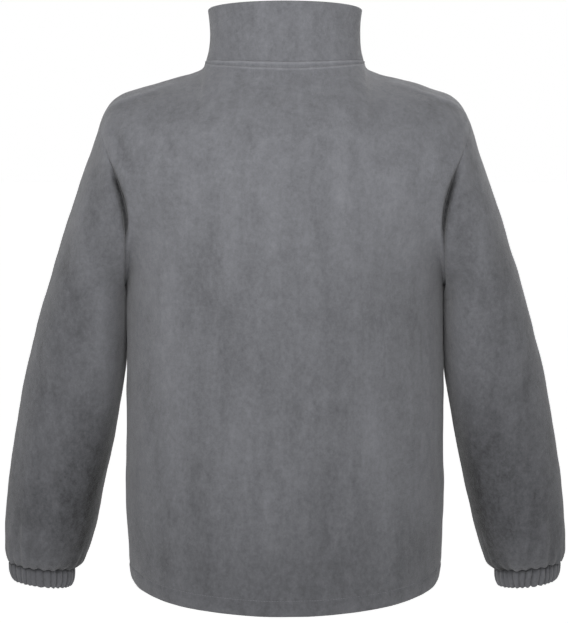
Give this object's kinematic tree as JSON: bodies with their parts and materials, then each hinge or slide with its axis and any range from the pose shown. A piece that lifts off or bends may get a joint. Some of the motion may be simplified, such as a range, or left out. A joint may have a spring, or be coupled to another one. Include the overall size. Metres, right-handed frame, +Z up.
{
  "type": "fleece zip jacket",
  "caption": "Long-sleeved fleece jacket with a stand collar, a full-length front zip, gathered cuffs and a turned hem, filled out as if worn.",
  "frame": {"origin": "middle of the neck opening at the height of the back neck seam, where the wearer's neck holds the jacket", "axes": "+Z up, -Y towards the zip front, +Y towards the back, +X towards the wearer's left sleeve"},
  "size_m": [0.7568, 0.2992, 0.7798],
  "materials": {
    "fleece": "matte brushed fleece, mid grey",
    "cuff_fleece": "matte brushed fleece, gathered, darker grey in its folds",
    "zip_tape": "woven tape, dark grey",
    "zip_metal": "satin dark grey"
  },
  "bodies": {
    "jacket": {"back": "fleece", "front_left": "fleece", "front_right": "fleece", "sleeve_left": "fleece", "sleeve_right": "fleece", "collar": "fleece", "cuff_left": "cuff_fleece", "cuff_right": "cuff_fleece", "zip_tape_left": "zip_tape", "zip_tape_right": "zip_tape", "zip_slider": "zip_metal", "zip_box": "zip_metal"},
    "zip_pull": {"zip_pull_tab": "zip_metal"}
  },
  "joints": [
    {"name": "zip_pull_hinge", "type": "hinge", "parent": "jacket", "child": "zip_pull", "pos_m": [0, -0.08929, 0.01957], "axis": [-1, 0, 0], "range_deg": [0, 160]}
  ]
}
